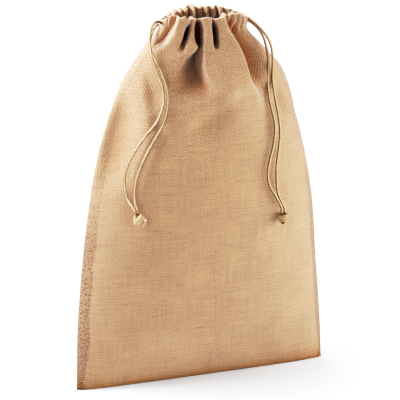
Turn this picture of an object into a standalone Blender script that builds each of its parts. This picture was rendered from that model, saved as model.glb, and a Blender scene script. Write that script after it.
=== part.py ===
# Hessian drawstring sack that stands by itself with its neck drawn in.
# Two sewn panels, four cord strands and two knots. The tables are in millimetres, the scene is in metres.
# +Z is up, the front faces -Y, and the origin is on the floor under the middle of the sack.
import math
from collections import namedtuple

import bmesh
import bpy
import numpy as np

MM = 0.001

CLOTH = 1.2  # one layer of hessian
HEM = 2.0  # doubled cloth: the casing and the allowances inside the seams
ALLOWANCE = 10.0  # width of the doubled strip along each seam
SEAM_GAP = 0.3  # between the panels, and between all pieces that touch
RIM = 427.0  # height of the drawn-in rim
CASING_FOOT = 403.0  # the casing's lower stitch line
GATHER = 410.0  # height where the cord draws the cloth in
LEFT_DROOP = 4.0  # how far the rim sinks towards the left seam
RIGHT_DROOP = 7.0  # and towards the right seam
RIM_RIPPLE = 1.2  # how uneven the rim is
BASE_ROUND = 4.0  # radius where the base turns up into the wall
WALL_FOOT = 60.0  # below this the rows fan out from the bottom seam
COLUMNS = 52  # points from seam to seam
WALL_ROWS = [60, 92, 126, 160, 194, 228, 258, 284, 306, 325, 341, 354, 365, 375, 384, 392, 399, 405, 412, 419, 427]

# The sack's level sections. left and right are the seams, front and back the fullness each side of the seam plane,
# square flattens a panel's middle, blunt rounds its ends, seam is the seam plane's own y.
Section = namedtuple("Section", "z left right front back square blunt seam")
SECTIONS = [
    Section(0, 150.0, 151.5, 9, 38, 8.0, 0.80, -8.0),
    Section(30, 149.5, 150.5, 19, 44, 5.5, 0.80, -7.2),
    Section(60, 148.5, 149.0, 27, 47, 4.2, 0.80, -6.6),
    Section(120, 143.5, 144.5, 38, 51, 3.0, 0.82, -5.0),
    Section(210, 132.0, 137.5, 45, 51, 2.5, 0.85, -3.2),
    Section(270, 120.5, 126.0, 45, 49, 2.4, 0.85, -2.4),
    Section(300, 112.0, 118.0, 43, 46, 2.4, 0.85, -1.8),
    Section(340, 97.0, 107.0, 39, 40, 2.4, 0.82, -1.2),
    Section(358, 88.0, 98.0, 36, 37, 2.3, 0.80, -1.0),
    Section(376, 74.0, 82.0, 33, 33, 2.2, 0.75, -0.8),
    Section(390, 60.0, 70.0, 30, 30, 2.1, 0.65, -0.6),
    Section(402, 50.0, 61.0, 28, 28, 2.0, 0.56, -0.4),
    Section(412, 44.0, 57.0, 26, 26, 2.0, 0.52, -0.2),
    Section(420, 41.5, 57.0, 25, 25, 2.0, 0.50, -0.1),
    Section(440, 42.5, 58.5, 27, 27, 2.0, 0.50, 0.0),
]

# The gathers, as valleys pushed into the sack. top and foot place a valley between the seams (-1 to 1) at the rim
# and where it ends, depth is how far it goes in, half is half of its width, low is the height where it has faded out.
Pleat = namedtuple("Pleat", "top foot depth half low")
FRONT_PLEATS = [
    Pleat(-0.86, -0.88, 5.0, 2.8, 388),
    Pleat(-0.71, -0.75, 8.0, 3.2, 380),
    Pleat(-0.55, -0.60, 8.0, 3.2, 384),
    Pleat(-0.34, -0.44, 18.0, 4.6, 366),
    Pleat(-0.11, -0.05, 19.0, 5.0, 372),
    Pleat(0.19, 0.16, 19.0, 5.0, 364),
    Pleat(0.39, 0.42, 8.0, 3.2, 394),
    Pleat(0.54, 0.57, 9.0, 3.4, 392),
    Pleat(0.69, 0.72, 9.0, 3.3, 388),
    Pleat(0.84, 0.85, 6.0, 2.9, 388),
]
BACK_PLEATS = [
    Pleat(-0.84, -0.86, 6.0, 2.8, 388),
    Pleat(-0.68, -0.71, 10.0, 3.4, 378),
    Pleat(-0.50, -0.55, 12.0, 3.6, 372),
    Pleat(-0.31, -0.35, 14.0, 3.8, 362),
    Pleat(-0.12, -0.14, 12.0, 3.6, 374),
    Pleat(0.07, 0.06, 15.0, 3.8, 360),
    Pleat(0.26, 0.29, 12.0, 3.6, 372),
    Pleat(0.45, 0.49, 13.0, 3.6, 366),
    Pleat(0.63, 0.67, 10.0, 3.4, 378),
    Pleat(0.81, 0.83, 7.0, 2.9, 386),
]

# The larger folds below the neck: a trough along a bent line, from start by way to end as (x, z), with its depth and
# the width of its left and of its right slope. A narrow slope reads as a crease, a wide one as a soft hollow. flare is
# how much narrower it starts than it ends, and a negative depth makes a ridge.
Fold = namedtuple("Fold", "start way end depth left right flare")
FRONT_FOLDS = [
    Fold((26, 412), (50, 376), (82, 302), 15.0, 7.5, 26.0, 0.4),
    Fold((14, 410), (36, 380), (64, 318), -3.5, 12.0, 7.0, 0.3),
    Fold((-42, 424), (-58, 410), (-84, 388), 9.0, 12.0, 5.5, 0.2),
    Fold((-8, 404), (-12, 376), (-17, 330), 12.0, 26.0, 7.0, 0.8),
    Fold((-74, 388), (-70, 352), (-56, 302), 7.0, 7.0, 16.0, 0.3),
    Fold((76, 372), (84, 344), (94, 300), 5.5, 8.0, 8.0, 0.3),
    Fold((38, 342), (8, 318), (-36, 290), 4.5, 12.0, 12.0, 0.2),
    Fold((-76, 324), (-64, 308), (-50, 288), 4.0, 9.0, 7.0, 0.0),
    Fold((-112, 180), (-60, 120), (0, 70), 2.5, 22.0, 22.0, 0.0),
]
BACK_FOLDS = [
    Fold((-30, 404), (-42, 368), (-66, 312), 11.0, 18.0, 7.0, 0.4),
    Fold((6, 402), (2, 360), (10, 300), 10.0, 7.0, 17.0, 0.5),
    Fold((38, 402), (54, 362), (72, 306), 10.0, 7.0, 18.0, 0.3),
    Fold((-80, 352), (-74, 326), (-50, 292), 5.0, 10.0, 10.0, 0.2),
    Fold((60, 250), (10, 190), (-50, 150), 3.0, 20.0, 20.0, 0.0),
]

# The cords. Each strand starts at the casing's slit in a side seam, hangs over the shoulder and ends in its knot.
CORD = 3.0  # thickness of a strand
CORD_STEP = 8.0  # distance between the points of a strand
Strand = namedtuple("Strand", "knot beside route")
STRANDS = {
    "cord_left_outer": Strand("knot_left", -1, [
        (-43.5, -2.0, 418.5), (-48, -4, 421), (-54, -7, 420), (-58.5, -10, 415.5), (-61.5, -14, 407.5),
        (-63, -19, 398), (-63, -23.5, 387), (-57.5, -27.5, 368), (-54, -31.5, 355), (-53, -34.5, 341),
        (-56, -36, 328), (-62.5, -36, 315), (-73, -34, 302), (-84, -32, 287), (-92.5, -30.5, 272),
        (-97.5, -30.5, 257), (-98, -31.5, 243), (-96, -34, 230),
    ]),
    "cord_left_inner": Strand("knot_left", 1, [
        (-44.0, 1.8, 414.5), (-48.5, -1.0, 413), (-53, -5, 408.5), (-57, -10.5, 402.5), (-59.5, -16, 395),
        (-57.5, -21, 382), (-53, -28.5, 369), (-49.5, -32, 356), (-48, -35, 342), (-50.5, -37, 326),
        (-56, -37.5, 311), (-64.5, -37.5, 297), (-73.5, -38, 283), (-81, -37, 267), (-86, -37, 254),
        (-88.5, -37.5, 240), (-89, -39, 228),
    ]),
    "cord_right_outer": Strand("knot_right", 1, [
        (58.8, -2.0, 416.0), (63, -3.5, 412.5), (68.5, -6, 407.5), (73.5, -9, 401.5), (77.5, -12, 395.5),
        (80.5, -14.5, 389), (82, -17, 381), (82.5, -19, 372), (82, -20.5, 363), (81.5, -22, 346),
        (83, -26, 327), (85, -32, 306), (86, -34.5, 291), (83.5, -37.5, 271), (79.5, -41, 253),
        (80, -42.5, 235), (83, -43, 219),
    ]),
    "cord_right_inner": Strand("knot_right", -1, [
        (59.3, 1.8, 412.0), (64, 0.5, 409.5), (69, -2, 405), (73, -5, 399), (76, -8, 392),
        (77, -11, 385), (78.2, -13.5, 377.5), (78.3, -16, 369), (77.3, -18.5, 359), (75.5, -22, 346),
        (74.5, -29.5, 328), (77.5, -34.5, 309), (79, -37, 294), (75, -41, 274), (69.5, -44, 258),
        (67, -45.5, 243), (69, -45.5, 230), (76, -45, 217),
    ]),
}

# The overhand knots. axis points from where the strands go in to the cut ends.
Knot = namedtuple("Knot", "centre axis length radius tails")
KNOTS = {
    "knot_left": Knot((-85.5, -43.5, 207.5), (0.5, -0.05, -0.86), 13.0, 5.6, ((0.75, -0.25, -0.6), (0.2, -0.3, -0.9))),
    "knot_right": Knot((86.3, -44.0, 189.5), (-0.08, -0.04, -1.0), 14.0, 5.2, ((0.15, -0.2, -1.0), (-0.35, -0.25, -0.9))),
}
KNOT_COLLAR = 3.5  # radius of the knot's flat top, where both strands go in
TAIL = 6.5  # how far a cut end stands out of the knot's lower end

JUTE = (0.55, 0.36, 0.17, 1.0)
CORD_COTTON = (0.72, 0.52, 0.27, 1.0)


def ease(value, low, high):
    """Smooth step from 0 at low to 1 at high."""
    t = np.clip((np.asarray(value, float) - low) / (high - low), 0.0, 1.0)
    return t * t * (3.0 - 2.0 * t)


def section_at(z):
    """The section at a height, on a smooth curve through the table."""
    heights = np.array([s.z for s in SECTIONS], float)
    row = int(np.clip(np.searchsorted(heights, z) - 1, 0, len(heights) - 2))
    values = np.array(SECTIONS, float)
    slopes = np.gradient(values, heights, axis=0)
    span = heights[row + 1] - heights[row]
    t = (z - heights[row]) / span
    start, end = values[row], values[row + 1]
    out = (
        (2 * t**3 - 3 * t**2 + 1) * start
        + (t**3 - 2 * t**2 + t) * span * slopes[row]
        + (3 * t**2 - 2 * t**3) * end
        + (t**3 - t**2) * span * slopes[row + 1]
    )
    return Section(*out)


def bare_point(side, across, z):
    """A point of a panel without folds. across runs from -1 at the left seam to 1 at the right one."""
    s = section_at(z)
    fullness = s.front if side < 0 else s.back
    bulge = fullness * np.maximum(1.0 - np.abs(across) ** s.square, 0.0) ** s.blunt
    x = (s.right - s.left) / 2 + across * (s.right + s.left) / 2
    return x, s.seam + side * (SEAM_GAP / 2 + bulge)


def trough(x, z, fold):
    """How deep a fold is at points (x, z)."""
    t = np.linspace(0.0, 1.0, 25)
    start, way, end = (np.array(p, float) for p in (fold.start, fold.way, fold.end))
    line = np.outer((1 - t) ** 2, start) + np.outer(2 * t * (1 - t), way) + np.outer(t**2, end)
    along = np.gradient(line, axis=0)
    along /= np.linalg.norm(along, axis=1)[:, None]
    off_x = x[:, None] - line[:, 0]
    off_z = np.broadcast_to(z - line[:, 1], off_x.shape)
    near = np.argmin(off_x**2 + off_z**2, axis=1)
    rows = np.arange(len(x))
    off_x, off_z = off_x[rows, near], off_z[rows, near]
    right_of = off_z * along[near, 0] - off_x * along[near, 1]
    distance = np.hypot(off_x, off_z)
    width = np.where(right_of > 0, fold.right, fold.left) * (1 - fold.flare * (1 - t[near]))
    fade = ease(t[near], 0.0, 0.2) * (1.0 - ease(t[near], 0.55, 1.0))
    return fold.depth * fade * np.exp(-((distance / width) ** 2))


def level_line(side, z):
    """A panel's fine level line at a height, with its gathers and folds, and each point's place from -1 to 1."""
    across = -np.cos(np.linspace(0.0, math.pi, 900))
    x, y = bare_point(side, across, z)
    run = np.concatenate([[0.0], np.cumsum(np.hypot(np.diff(x), np.diff(y)))])
    place = 2 * run / run[-1] - 1
    pleats, folds = (FRONT_PLEATS, FRONT_FOLDS) if side < 0 else (BACK_PLEATS, BACK_FOLDS)
    dip = np.zeros_like(x)
    for p in pleats:
        drop = np.clip((RIM - z) / (RIM - p.low), 0.0, 1.0)
        centre = p.top + (p.foot - p.top) * drop
        spread = p.half * (0.74 + 0.62 * math.sin(math.pi * drop**0.8))
        depth = p.depth * (1.0 - ease(drop, 0.4, 1.0))
        distance = np.abs(place - centre) * run[-1] / 2
        dip += depth * np.exp(-((distance / spread) ** 2.4))
    for fold in folds:
        dip += trough(x, z, fold)
    dip *= 1.0 - np.abs(place) ** 14
    dx, dy = np.gradient(x), np.gradient(y)
    length = np.hypot(dx, dy)
    return place, x + side * dip * dy / length, y - side * dip * dx / length


def gathered_places(side):
    """Where the columns cross the casing, so that each pair holds the same length of gathered cloth."""
    place, x, y = level_line(side, GATHER)
    cloth = np.concatenate([[0.0], np.cumsum(np.hypot(np.diff(x), np.diff(y)))])
    return np.interp(np.linspace(0.0, cloth[-1], COLUMNS), cloth, place)


def level_curve(side, z):
    """The columns' points on a panel's level line. They are even low down and crowd into the gathers higher up."""
    place, x, y = level_line(side, z)
    even = np.linspace(-1.0, 1.0, COLUMNS)
    at = even + (gathered_places(side) - even) * ease(z, GATHER - 180, GATHER - 20)
    return np.interp(at, place, x), np.interp(at, place, y)


def foot_path(side, across):
    """One column from the bottom seam along the flat base, round its edge and up to WALL_FOOT, as rows of (x, y, z)."""
    heights = np.linspace(0.0, WALL_FOOT, 61)
    wall = np.array([[*bare_point(side, across, z), z] for z in heights])
    seam_x = wall[0, 0]
    seam_y = section_at(0.0).seam + side * SEAM_GAP / 2
    depth = abs(wall[0, 1] - seam_y)
    turn = min(BASE_ROUND, 0.6 * depth)
    base = [np.array([seam_x, seam_y, 0.0])]
    if depth > 0.5:
        corner = wall[0]
        before = corner + np.array([0.0, -side * turn, 0.0])
        after = np.array([np.interp(turn, heights, wall[:, k]) for k in range(3)])
        curve = [(1 - t) ** 2 * before + 2 * t * (1 - t) * corner + t**2 * after for t in np.linspace(0, 1, 9)]
        path = np.array(base + curve + [p for p in wall if p[2] > turn + 0.5])
    else:
        path = wall
    run = np.concatenate([[0.0], np.cumsum(np.linalg.norm(np.diff(path, axis=0), axis=1))])
    flat = max(depth - turn, 0.0)
    bend = flat + 1.4 * turn
    marks = [0.0, flat * 0.5, flat, (flat + bend) / 2, bend] if side > 0 else [0.0, flat, (flat + bend) / 2, bend]
    marks += list(np.linspace(bend, run[-1], 5)[1:])
    plain = np.linspace(0.0, run[-1], len(marks))
    firm = float(ease(depth, 0.5, 6.0))
    at = (1 - firm) * plain + firm * np.array(marks)
    rows = np.array([[np.interp(a, run, path[:, k]) for k in range(3)] for a in at])
    rows[rows[:, 2] < 0.02, 2] = 0.0
    return rows


def panel_grid(side):
    """The outer face of a panel as rows by columns of points."""
    x, _ = level_curve(side, WALL_FOOT)
    s = section_at(WALL_FOOT)
    across = np.clip((x - (s.right - s.left) / 2) / ((s.right + s.left) / 2), -1.0, 1.0)
    foot = np.stack([foot_path(side, a) for a in across], axis=1)
    wall = []
    for z in WALL_ROWS[1:]:
        x, y = level_curve(side, z)
        part = np.linspace(-1.0, 1.0, COLUMNS)
        ripple = RIM_RIPPLE * (np.sin(9.0 * part + side) + 0.7 * np.sin(17.0 * part + 2.0 * side))
        droop = LEFT_DROOP * np.maximum(-part, 0.0) ** 1.5 + RIGHT_DROOP * np.maximum(part, 0.0) ** 1.5
        wall.append(np.stack([x, y, z + (ripple - droop) * ease(z, CASING_FOOT - 25, RIM)], axis=1))
    return np.concatenate([foot, np.array(wall)])


def thickness(grid):
    """Cloth thickness over the grid: doubled along the seams and in the casing."""
    rows, columns, _ = grid.shape
    run = np.zeros((rows, columns))
    run[:, 1:] = np.cumsum(np.linalg.norm(np.diff(grid, axis=1), axis=2), axis=1)
    from_side = np.minimum(run, run[:, -1:] - run)
    rise = np.zeros((rows, columns))
    rise[1:] = np.cumsum(np.linalg.norm(np.diff(grid, axis=0), axis=2), axis=0)
    doubled = np.maximum(1 - ease(from_side, ALLOWANCE - 3, ALLOWANCE + 3), 1 - ease(rise, ALLOWANCE - 3, ALLOWANCE + 3))
    doubled = np.maximum(doubled, ease(grid[:, :, 2], CASING_FOOT - 4, CASING_FOOT + 1))
    return CLOTH + (HEM - CLOTH) * doubled


def outward(grid, side):
    """Unit normals of the grid, kept in the seam plane along the seams and upright at the bottom seam."""
    along = np.gradient(grid, axis=1)
    up = np.gradient(grid, axis=0)
    normal = -side * np.cross(along, up)
    normal[:, [0, -1], 1] = 0.0
    normal[:, 0, 0] = -np.abs(normal[:, 0, 0]) - 1e-6
    normal[:, -1, 0] = np.abs(normal[:, -1, 0]) + 1e-6
    normal[0, :, :] = (0.0, 0.0, -1.0)
    normal[0, 0, :] = (-1.0, 0.0, -1.0)
    normal[0, -1, :] = (1.0, 0.0, -1.0)
    normal[-1, :, 2] = 0.0
    return normal / np.linalg.norm(normal, axis=2)[:, :, None]


def shell_layers(side):
    """A panel's outer and inner faces."""
    face = panel_grid(side)
    normal = outward(face, side)
    thick = thickness(face)[:, :, None]
    centred = 0.5 * ease(face[:, :, 2:3], 320, 370)
    outer = face + normal * thick * centred
    inner = face - normal * thick * (1 - centred)
    on_floor = face[:, :, 2] == 0.0
    outer[on_floor, 2] = 0.0
    inner[on_floor, 2] = thick[on_floor, 0]
    seam = np.array([[section_at(z).seam for z in row] for row in face[:, 1:-1, 2]])
    reach = side * SEAM_GAP / 2 + side * 0.4
    inner[1:, 1:-1, 1] = seam[1:] + side * np.maximum(side * (inner[1:, 1:-1, 1] - seam[1:]), side * reach)
    return outer, inner


def add_object(name, bm, material):
    bmesh.ops.recalc_face_normals(bm, faces=bm.faces)
    mesh = bpy.data.meshes.new(name)
    bm.to_mesh(mesh)
    bm.free()
    mesh.shade_smooth()
    mesh.set_sharp_from_angle(angle=math.radians(55))
    mesh.materials.append(material)
    obj = bpy.data.objects.new(name, mesh)
    bpy.context.scene.collection.objects.link(obj)
    return obj


def add_panel(name, side, material):
    outer, inner = shell_layers(side)
    rows, columns, _ = outer.shape
    bm = bmesh.new()
    layers = [[[bm.verts.new(p * MM) for p in row] for row in layer] for layer in (outer, inner)]
    for face in layers:
        for r in range(rows - 1):
            for c in range(columns - 1):
                bm.faces.new((face[r][c], face[r][c + 1], face[r + 1][c + 1], face[r + 1][c]))
    rim = [(0, c) for c in range(columns)] + [(r, columns - 1) for r in range(1, rows)]
    rim += [(rows - 1, c) for c in range(columns - 2, -1, -1)] + [(r, 0) for r in range(rows - 2, 0, -1)]
    for (r0, c0), (r1, c1) in zip(rim, rim[1:] + rim[:1]):
        bm.faces.new((layers[0][r0][c0], layers[0][r1][c1], layers[1][r1][c1], layers[1][r0][c0]))
    return add_object(name, bm, material)


def unit(vector):
    vector = np.array(vector, float)
    return vector / np.linalg.norm(vector)


def smooth_path(points, step):
    """Evenly spaced points on a smooth curve through the route's points."""
    points = np.array(points, float)
    padded = np.vstack([2 * points[0] - points[1], points, 2 * points[-1] - points[-2]])
    fine = []
    for p0, p1, p2, p3 in zip(padded, padded[1:], padded[2:], padded[3:]):
        for t in np.linspace(0.0, 1.0, 20, endpoint=False):
            fine.append(
                0.5 * (2 * p1 + (p2 - p0) * t + (2 * p0 - 5 * p1 + 4 * p2 - p3) * t**2 + (3 * p1 - p0 - 3 * p2 + p3) * t**3)
            )
    fine = np.array(fine + [points[-1]])
    run = np.concatenate([[0.0], np.cumsum(np.linalg.norm(np.diff(fine, axis=0), axis=1))])
    count = round(run[-1] / step) + 1
    return np.array([np.interp(np.linspace(0.0, run[-1], count), run, fine[:, k]) for k in range(3)]).T


def knot_entry(knot, beside, above):
    """A point above a knot's flat top, on the line of one strand."""
    axis = unit(knot.axis)
    aside = unit(np.cross((0.0, 1.0, 0.0), -axis))
    top = np.array(knot.centre) - axis * (knot.length / 2 + above)
    return top + aside * beside * (CORD / 2 + 0.3)


def add_strand(name, strand, material):
    knot = KNOTS[strand.knot]
    entry = [knot_entry(knot, strand.beside, above) for above in (6.0, SEAM_GAP)]
    curve = bpy.data.curves.new(name, "CURVE")
    curve.dimensions = "3D"
    curve.bevel_depth = CORD / 2 * MM
    curve.bevel_resolution = 2
    curve.use_fill_caps = True
    path = smooth_path(list(strand.route) + entry, CORD_STEP)
    spline = curve.splines.new("POLY")
    spline.points.add(len(path) - 1)
    for point, place in zip(spline.points, path):
        point.co = (*(place * MM), 1.0)
    curve.materials.append(material)
    obj = bpy.data.objects.new(name, curve)
    bpy.context.scene.collection.objects.link(obj)


def knot_radius(t, radius):
    """A knot's radius from its flat top (t = 0) to its lower end (t = 1): two wraps with grooves between them."""
    swell = math.sin(math.pi * (0.12 + 0.76 * t)) ** 0.6
    groove = 0.16 * math.exp(-(((t - 0.36) / 0.07) ** 2)) + 0.16 * math.exp(-(((t - 0.66) / 0.07) ** 2))
    return radius * (swell - groove)


def turned(bm, start, end, radii, sides):
    """Adds a closed turned body along a line, with the given radii from start to end."""
    start, end = np.array(start, float), np.array(end, float)
    axis = unit(end - start)
    first = unit(np.cross(axis, (0.31, 0.95, 0.05)))
    second = np.cross(axis, first)
    rings = []
    for i, radius in enumerate(radii):
        centre = start + (end - start) * i / (len(radii) - 1)
        angles = [2 * math.pi * k / sides for k in range(sides)]
        rings.append([bm.verts.new((centre + radius * (math.cos(a) * first + math.sin(a) * second)) * MM) for a in angles])
    for low, high in zip(rings, rings[1:]):
        for k in range(sides):
            bm.faces.new((low[k], low[(k + 1) % sides], high[(k + 1) % sides], high[k]))
    bm.faces.new(rings[0])
    bm.faces.new(rings[-1])


def add_knot(name, knot, material):
    axis = unit(knot.axis)
    centre = np.array(knot.centre)
    top, foot = centre - axis * knot.length / 2, centre + axis * knot.length / 2
    bm = bmesh.new()
    radii = [KNOT_COLLAR] + [knot_radius(t, knot.radius) for t in np.linspace(0.07, 1.0, 14)]
    turned(bm, top, foot, radii, 16)
    body = add_object(name, bm, material)
    for number, tail in enumerate(knot.tails):
        bm = bmesh.new()
        turned(bm, centre + axis * 1.5, centre + unit(tail) * (knot.length / 2 + TAIL), [CORD / 2, CORD / 2], 10)
        cutter = add_object(f"{name}_tail_{number}", bm, material)
        cutter.hide_render = True
        cutter.display_type = "WIRE"
        union = body.modifiers.new("tail", "BOOLEAN")
        union.operation = "UNION"
        union.object = cutter


def add_material(name, colour, roughness):
    material = bpy.data.materials.new(name)
    material.use_nodes = True
    shader = material.node_tree.nodes["Principled BSDF"]
    shader.inputs["Base Color"].default_value = colour
    shader.inputs["Roughness"].default_value = roughness
    shader.inputs["Metallic"].default_value = 0.0
    return material


def main():
    for obj in list(bpy.data.objects):
        bpy.data.objects.remove(obj, do_unlink=True)
    jute = add_material("jute hessian", JUTE, 0.9)
    add_panel("front_panel", -1, jute)
    add_panel("back_panel", 1, jute)
    cotton = add_material("waxed cotton cord", CORD_COTTON, 0.75)
    for name, strand in STRANDS.items():
        add_strand(name, strand, cotton)
    for name, knot in KNOTS.items():
        add_knot(name, knot, cotton)


main()
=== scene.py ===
# Hessian drawstring sack, standing with its neck drawn in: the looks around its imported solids.
# Metres, +Z up, the front panel faces -Y. Tables are in millimetres and are turned to metres by mm.
import math
from functools import partial

import bmesh
import bpy
import numpy as np
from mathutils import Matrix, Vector


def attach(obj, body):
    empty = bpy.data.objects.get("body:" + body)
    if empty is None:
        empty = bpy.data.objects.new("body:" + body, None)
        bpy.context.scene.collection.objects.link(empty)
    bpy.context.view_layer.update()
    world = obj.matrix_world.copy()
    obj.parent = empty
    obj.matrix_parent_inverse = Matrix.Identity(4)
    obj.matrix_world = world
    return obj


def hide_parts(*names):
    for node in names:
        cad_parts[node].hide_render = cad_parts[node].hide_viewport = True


mm = 0.001
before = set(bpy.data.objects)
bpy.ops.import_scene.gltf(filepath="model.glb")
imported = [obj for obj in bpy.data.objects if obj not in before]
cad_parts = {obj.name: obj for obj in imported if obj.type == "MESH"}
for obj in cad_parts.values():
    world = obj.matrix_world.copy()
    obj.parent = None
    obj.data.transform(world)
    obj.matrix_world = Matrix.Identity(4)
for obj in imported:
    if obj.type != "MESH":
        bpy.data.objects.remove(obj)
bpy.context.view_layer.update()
print("frame loaded:", ", ".join(sorted(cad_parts)))

shot = {
    "azimuth": -20.5,  # seen from a little to the left
    "elevation": 18.0,
    "distance": 2.9,
    "lens": 230.6,
    "target": (0.0, -0.007, 0.21),
}

studio = {
    "lights": {  # square soft boxes: place in metres, side, watts and tint
        "keyLight": ((-0.50, 0.08, 0.62), 0.3, 12.5, "E2EBFF"),  # close, high on the left, a little behind
        "rightLight": ((0.80, -0.35, 0.19), 0.7, 11.1, "F8FBFF"),  # close and low on the right
        "rightFarLight": ((2.17, -0.20, 0.52), 0.8, 19.0, "FFFFFF"),
        "frontLeftLight": ((-1.67, -1.41, 0.52), 0.8, 17.5, "FFFFFF"),
        "frontLight": ((0.75, -2.05, 0.52), 0.8, 12.8, "FBFFFF"),
        "topLight": ((-0.1, 0.9, 2.2), 1.2, 48.0, "FFFFFF"),  # behind, keeps the floor white
    },
    "skyStrength": 0.02,
    "skySeen": 1.1,  # the sky that the camera sees, as a share of whiteLevel
    "whiteLevel": 2.1,  # radiance that the picture shows as white
    "contrast": 1.15,
    "pivot": 0.3,  # radiance that the contrast leaves as it is
    "shoulder": 0.4,  # where the picture starts to hold back its highlights
    "rollOff": 0.75,  # how firmly it holds them back
    "curveShares": (0.02, 0.05, 0.1, 0.15, 0.2, 0.3, 0.45, 0.6, 0.8),  # of whiteLevel, for the curve's points
    "floorHalf": 0.62,
    "floorColour": "F4F5F6",
    "floorGlow": (0.2, 1.1),  # for the camera alone, near the sack and far from it; the weaker glow near the sack is a painted shadow on top of the lamps' shadow
    "glowSpan": (0.05, 0.24),  # how far from the sack's middle that is
    "floorBounce": 0.5,  # share of the floor's own brightness that reaches the sack
}

blended = {"data_type": "RGBA"}
multiplied = {"data_type": "RGBA", "blend_type": "MULTIPLY"}


def linear(hexColour):  # sRGB hex to linear RGBA
    channels = [int(hexColour[i : i + 2], 16) / 255 for i in (0, 2, 4)]
    return [c / 12.92 if c <= 0.04045 else ((c + 0.055) / 1.055) ** 2.4 for c in channels] + [1.0]


def setSockets(tree, node, sockets):  # by name, index or order: a value, or a node or output to link from
    for socket, value in sockets.items() if isinstance(sockets, dict) else enumerate(sockets):
        if isinstance(value, bpy.types.Node):
            value = next(output for output in value.outputs if output.enabled)
        if isinstance(value, bpy.types.NodeSocket):
            tree.links.new(value, node.inputs[socket])
        else:
            node.inputs[socket].default_value = value


def addNode(tree, kind, sockets=(), **settings):  # one node with its settings, values and links
    node = tree.nodes.new(kind)
    for name, value in settings.items():
        setattr(node, name, value)
    setSockets(tree, node, sockets)
    return node


def addMaterial(name):
    material = bpy.data.materials.new(name)
    material.use_nodes = True
    tree = material.node_tree
    return material, tree, tree.nodes["Principled BSDF"]


def setStops(ramp, stops):  # (position, sRGB hex) for each stop
    elements = ramp.color_ramp.elements
    while len(elements) < len(stops):
        elements.new(0.5)
    for element, (position, tint) in zip(elements, stops):
        element.position = position
        element.color = linear(tint)


def aimAt(obj, place, target):
    obj.location = place
    obj.rotation_euler = (Vector(target) - Vector(place)).to_track_quat("-Z", "Y").to_euler()


def addSoftBox(name, place, side, watts, tint):
    light = bpy.data.lights.new(name, "AREA")
    light.shape = "SQUARE"
    light.size = side
    light.energy = watts
    light.color = linear(tint)[:3]
    box = bpy.data.objects.new(name, light)
    bpy.context.scene.collection.objects.link(box)
    aimAt(box, place, shot["target"])


def setTones(view):  # a photograph's tones: a little contrast, and highlights that roll off to white
    start = studio["shoulder"]
    view.view_transform = "Standard"
    view.use_curve_mapping = True
    tones = view.curve_mapping
    tones.white_level = [studio["whiteLevel"]] * 3
    for share in studio["curveShares"]:
        radiance = share * studio["whiteLevel"]
        level = studio["pivot"] * (radiance / studio["pivot"]) ** studio["contrast"]
        over = max(level - start, 0.0) / (1 - start)
        shown = min(level, start) + (1 - start) * over / (1 + studio["rollOff"] * over)
        tones.curves[3].points.new(share, shown)
    tones.update()


def addCamera():
    azimuth = math.radians(shot["azimuth"])
    elevation = math.radians(shot["elevation"])
    level = math.cos(elevation)
    back = Vector((math.sin(azimuth) * level, -math.cos(azimuth) * level, math.sin(elevation)))
    camera = bpy.data.objects.new("camera", bpy.data.cameras.new("camera"))
    bpy.context.scene.collection.objects.link(camera)
    camera.data.lens = shot["lens"]
    target = Vector(shot["target"])
    aimAt(camera, target + back * shot["distance"], target)
    bpy.context.scene.camera = camera


def addSky():  # white where the camera sees it, and nearly dark for the sack
    world = bpy.data.worlds.new("studio")
    world.use_nodes = True
    bpy.context.scene.world = world
    tree = world.node_tree
    seen = addNode(tree, "ShaderNodeLightPath").outputs["Is Camera Ray"]
    ends = (studio["skyStrength"], studio["skySeen"] * studio["whiteLevel"])
    strength = addNode(tree, "ShaderNodeMapRange", (seen, 0.0, 1.0, *ends))
    setSockets(tree, tree.nodes["Background"], {"Color": (1.0, 1.0, 1.0, 1.0), "Strength": strength})


def paperMaterial():
    # white paper sweep: matt backdrop paper that glows for the camera, less near the sack as a painted
    # shadow, and gives a weaker bounce on the sack
    material, tree, shader = addMaterial("white paper sweep")
    paper = linear(studio["floorColour"])
    bounce = [c * studio["floorBounce"] for c in paper[:3]] + [1.0]
    seen = addNode(tree, "ShaderNodeLightPath").outputs["Is Camera Ray"]
    spot = addNode(tree, "ShaderNodeTexCoord").outputs["Object"]
    away = addNode(tree, "ShaderNodeVectorMath", (spot,), operation="LENGTH")
    glow = addNode(tree, "ShaderNodeMapRange", (away, *studio["glowSpan"], *studio["floorGlow"]))
    setSockets(tree, shader, {
        "Base Color": addNode(tree, "ShaderNodeMix", {0: seen, 6: bounce, 7: paper}, **blended),
        "Emission Strength": addNode(tree, "ShaderNodeMath", (seen, glow), operation="MULTIPLY"),
        "Emission Color": paper,
        "Roughness": 1.0,
        "Specular IOR Level": 0.0,
    })
    return material


def addFloor():
    half = studio["floorHalf"]
    mesh = bpy.data.meshes.new("floor")
    corners = [(-half, -half, 0), (half, -half, 0), (half, half, 0), (-half, half, 0)]
    mesh.from_pydata(corners, [], [(0, 1, 2, 3)])
    mesh.materials.append(paperMaterial())
    floor = bpy.data.objects.new("floor", mesh)
    bpy.context.scene.collection.objects.link(floor)


def buildStudio():
    addCamera()
    addSky()
    for name, softBox in studio["lights"].items():
        addSoftBox(name, *softBox)
    addFloor()
    setTones(bpy.context.scene.view_settings)
    print("studio built")


cords = {
    "diameter": 3.0,
    "ringStep": 0.9,  # between the rings of a strand
    "ringSides": 18,
    "lay": 11.0,  # one turn of the twist
    "plyDepth": 0.10,  # how deep the grooves between the plies are, as a share of the radius
    "seamGap": 0.3,
    "entryRise": 5.0,  # how far above its knot a strand already points down its way in
    "litFrom": 0.58,  # cosine of the angle to the painted light's direction where a strand starts to be painted pale
    "litTo": 1.0,
    "paintedLightFrom": {  # where the painted light comes from: that side of a strand gets a painted highlight, the far side painted shade
        "knot_left": (-0.35, -0.87, 0.34),
        "knot_right": (0.15, -0.93, 0.34),
    },
}

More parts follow.
